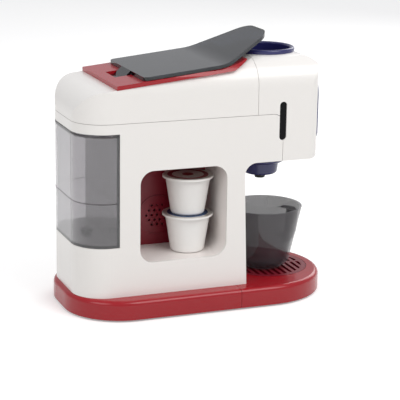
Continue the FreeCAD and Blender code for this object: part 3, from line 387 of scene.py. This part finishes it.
def dot_mark(x, z, radius, drop=0.0):
    """A printed dot, or a drop where its top is drawn up to a point."""
    dot = disc_before_panel(x, z, radius)
    bpy.ops.mesh.select_all(action="DESELECT")
    bpy.ops.object.mode_set(mode="OBJECT")
    max(dot.data.vertices, key=lambda corner: corner.co.y).select = True
    bpy.ops.object.mode_set(mode="EDIT")
    bpy.ops.mesh.select_mode(type="VERT")
    bpy.ops.transform.translate(value=(0, 0, drop / 1000))
    bpy.ops.object.mode_set(mode="OBJECT")
    return dot


def sheet_before_panel(x, z, wide, tall):
    """A flat rectangle that faces the front, with its sizes in millimetres, in edit mode."""
    bpy.ops.object.select_all(action="DESELECT")
    bpy.ops.mesh.primitive_plane_add(
        size=0.001, location=(x / 1000, BEFORE_PANEL, z / 1000), rotation=(math.pi / 2, 0, 0))
    bpy.ops.object.mode_set(mode="EDIT")
    bpy.ops.transform.resize(value=(wide, 1, tall))
    return bpy.context.object


def bar_mark(x, z, wide, tall):
    """A printed bar, divided so that it can follow the bow."""
    bar = sheet_before_panel(x, z, wide, tall)
    longest_part = 3
    bpy.ops.mesh.subdivide(number_cuts=max(1, int(wide / longest_part)))
    bpy.ops.object.mode_set(mode="OBJECT")
    return bar


def cup_mark(x, z, wide, tall, line):
    """The outline of a cup seen from the side, narrower at its foot, and its handle."""
    foot_width, handle_height, handle_radius = 0.64, 0.1 * tall, 0.3 * tall
    cup = sheet_before_panel(x, z, wide, tall)
    bpy.ops.mesh.select_all(action="DESELECT")
    bpy.ops.object.mode_set(mode="OBJECT")
    for corner in cup.data.vertices:
        corner.select = corner.co.y < 0
    bpy.ops.object.mode_set(mode="EDIT")
    bpy.ops.mesh.select_mode(type="VERT")
    bpy.ops.transform.resize(value=(foot_width, 1, 1))
    bpy.ops.mesh.select_all(action="SELECT")
    bpy.ops.mesh.inset(thickness=line / 1000)
    bpy.ops.mesh.delete(type="FACE")
    bpy.ops.object.mode_set(mode="OBJECT")
    handle = ring_mark(x + wide / 2 - line / 2, z + handle_height,
                       handle_radius, handle_radius - line, -90, 90)
    return [cup, handle]


def print_on(name, marks, surface, body, ink):
    """Joins marks, lays them on a CAD surface that faces the front, and gives them thickness."""
    bpy.ops.object.select_all(action="DESELECT")
    for mark in marks:
        mark.select_set(True)
    bpy.context.view_layer.objects.active = marks[0]
    bpy.ops.object.join()
    bpy.ops.object.transform_apply(location=True, rotation=True, scale=True)
    printed = bpy.context.object
    printed.name = name
    lay = printed.modifiers.new("lay", "SHRINKWRAP")
    lay.target = surface
    lay.wrap_method = "PROJECT"
    lay.use_project_y = True
    lay.use_negative_direction = True
    lay.offset = INK_FILM / 2
    bpy.ops.object.modifier_apply(modifier="lay")
    thick = printed.modifiers.new("thick", "SOLIDIFY")
    thick.thickness = INK_FILM
    thick.offset = 0.0
    bpy.ops.object.modifier_apply(modifier="thick")
    bpy.ops.object.mode_set(mode="EDIT")
    bpy.ops.mesh.select_all(action="SELECT")
    bpy.ops.mesh.normals_make_consistent(inside=False)
    bpy.ops.object.mode_set(mode="OBJECT")
    printed.data.materials.append(ink)
    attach(printed, body)


pad_ink = moulded("white_pad_printing_ink", "E6E8F2", "D8DBE8", rough=0.42, grain=0.1)
navy_ink = moulded("navy_pad_printing_ink", "2B2F5B", "262A52", rough=0.42, grain=0.1)
left_side, right_side = -34.0, 31.5
panel_marks = [
    dot_mark(left_side, 186.0, 1.5, drop=1.9), ring_mark(left_side, 176.5, 2.2, 1.4),
    bar_mark(left_side, 168.2, 4.2, 1.0), bar_mark(left_side, 166.0, 4.2, 1.0),
    dot_mark(left_side, 160.6, 1.1), ring_mark(left_side, 155.0, 1.9, 1.2),
    dot_mark(right_side, 190.5, 1.3), ring_mark(right_side, 182.0, 3.4, 2.6, -150, 150),
    bar_mark(right_side, 175.5, 4.6, 1.0), *cup_mark(right_side - 0.6, 168.6, 5.0, 4.2, 0.9),
    dot_mark(right_side, 160.8, 1.3, drop=1.6), bar_mark(0.0, 149.2, 26.0, 0.9),
    ring_mark(0.0, 176.0, 21.2, 20.6)]
print_on("panel_marks", panel_marks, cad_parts["control_panel"], "machine", pad_ink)
print_on("large_cup_mark", cup_mark(-0.5, 184.6, 5.0, 4.4, 0.6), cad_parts["large_cup_key"],
         "large_key", navy_ink)
print_on("small_cup_mark", cup_mark(-0.4, 167.4, 3.4, 3.0, 0.5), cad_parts["small_cup_key"],
         "small_key", navy_ink)


# Capsules and their foil lids.
# White polypropylene cups with a soft sheen, each closed by embossed aluminium foil with
# a disc and a ring printed on it in a colour of its own.
BARE_FOIL = "D9D6D0"
capsule_pp = moulded("white_moulded_polypropylene", "F3F1EE", "E9E6E2", rough=0.4, grain=0.04)
dress(capsule_pp, "capsule_1", "capsule_2", "capsule_3")
for number, shade in ((1, "8A5A34"), (2, "3F5E8C"), (3, "8C2B33")):
    low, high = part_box(f"capsule_foil_{number}")
    foil = finish_named(f"printed_foil_lid_{number}")
    where = grow(foil, "ShaderNodeTexCoord").outputs["Object"]
    lid_colour = printed_rings(
        foil, where, (-(low[0] + high[0]) / 2, -(low[1] + high[1]) / 2, 0.0), (1.0, 1.0, 0.0), 45.0,
        shade, ((0.22, BARE_FOIL), (0.62, shade), (0.80, BARE_FOIL)))
    knurl = grow(foil, "ShaderNodeTexVoronoi", {"Vector": where}, sockets={"Scale": 800.0})
    press = grow(foil, "ShaderNodeBump", {"Height": knurl.outputs["Distance"]},
                 sockets={"Strength": 0.25, "Distance": 0.0003})
    lid = grow(foil, "ShaderNodeBsdfPrincipled",
               {"Base Color": lid_colour, "Normal": press.outputs[0]},
               sockets={"Metallic": 0.75, "Roughness": 0.32})
    grow(foil, "ShaderNodeOutputMaterial", {"Surface": lid.outputs[0]})
    dress(foil, f"capsule_foil_{number}")


# Underside: bottom cover, battery door, switch and its housing, battery box and feet.
# Black ABS straight from a spark-eroded tool, so it is matt and finely grained. The feet
# are moulded rubber, and so are the tank's valve and seal.
black_abs = moulded("grained_black_moulded_abs", "1C1C1F", "151518", rough=0.5, grain=0.35)
dress(black_abs, "bottom_cover", "battery_door", "battery_box", "switch_housing", "power_switch")
rubber = moulded("black_moulded_rubber", "1A1A1A", "121212", rough=0.7, grain=0.5, gloss=0.3)
dress(rubber, "rubber_feet", "tank_valve", "tank_dock")


# Screws, lever pin, battery contacts and the pump's motor can.
# Nickel-plated steel with fine turning lines.
plated_steel = finish_named("nickel_plated_steel")
where = grow(plated_steel, "ShaderNodeTexCoord").outputs["Object"]
drawn_out = grow(plated_steel, "ShaderNodeMapping", {"Vector": where},
                 sockets={"Scale": (40.0, 900.0, 900.0)})
lines = grow(plated_steel, "ShaderNodeTexNoise", {"Vector": drawn_out.outputs[0]},
             sockets={"Scale": 1.0, "Detail": 3.0})
worn = grow(plated_steel, "ShaderNodeMapRange", {"Value": lines.outputs["Fac"]},
            sockets={"To Min": 0.22, "To Max": 0.42})
cut_lines = grow(plated_steel, "ShaderNodeBump", {"Height": lines.outputs["Fac"]},
                 sockets={"Strength": 0.1, "Distance": 0.0001})
metal = grow(plated_steel, "ShaderNodeBsdfPrincipled",
             {"Roughness": worn.outputs[0], "Normal": cut_lines.outputs[0]},
             sockets={"Base Color": linear("B9B9BB"), "Metallic": 1.0})
grow(plated_steel, "ShaderNodeOutputMaterial", {"Surface": metal.outputs[0]})
dress(plated_steel, "cover_screws", "door_screw", "lever_pin", "battery_contacts", "pump_motor")


# Works inside: circuit boards, loudspeaker, pump head, tubes and cells.
# Fibreglass board under green lacquer, a black paper cone in a steel frame, grey acetal,
# clear silicone tube and cells in a printed wrap.
lacquer = finish_named("green_lacquered_fibreglass")
where = grow(lacquer, "ShaderNodeTexCoord").outputs["Object"]
weave = grow(lacquer, "ShaderNodeTexChecker", {"Vector": where},
             sockets={"Scale": 1200.0, "Color1": linear("0E5A2C"), "Color2": linear("0C4F27")})
tracks = grow(lacquer, "ShaderNodeTexBrick", {"Vector": where},
              sockets={"Scale": 260.0, "Color1": linear("0F6A34"), "Color2": linear("0D5C2D"),
                       "Mortar": linear("17803F"), "Mortar Size": 0.08})
both = grow(lacquer, "ShaderNodeMix", {6: weave.outputs[0], 7: tracks.outputs[0]}, data_type="RGBA",
            sockets={0: 0.5})
coat = grow(lacquer, "ShaderNodeBsdfPrincipled", {"Base Color": both.outputs[2]},
            sockets={"Roughness": 0.3, "IOR": 1.5})
grow(lacquer, "ShaderNodeOutputMaterial", {"Surface": coat.outputs[0]})
dress(lacquer, "circuit_board", "key_board")
cone_paper = moulded("black_speaker_paper", "202022", "18181A", rough=0.75, grain=0.6, gloss=0.2)
dress(cone_paper, "speaker")
acetal = moulded("grey_moulded_acetal", "7B7E82", "707377", rough=0.45, grain=0.1)
dress(acetal, "pump_head")
silicone = smoked("clear_silicone_tube", "E4E8EA", "D8DDE0", rough=0.3, through=0.7)
dress(silicone, "suction_tube", "delivery_tube")
cell_wrap = moulded("printed_cell_wrap", "3A3F46", "30343A", rough=0.34)
dress(cell_wrap, "battery_cells")
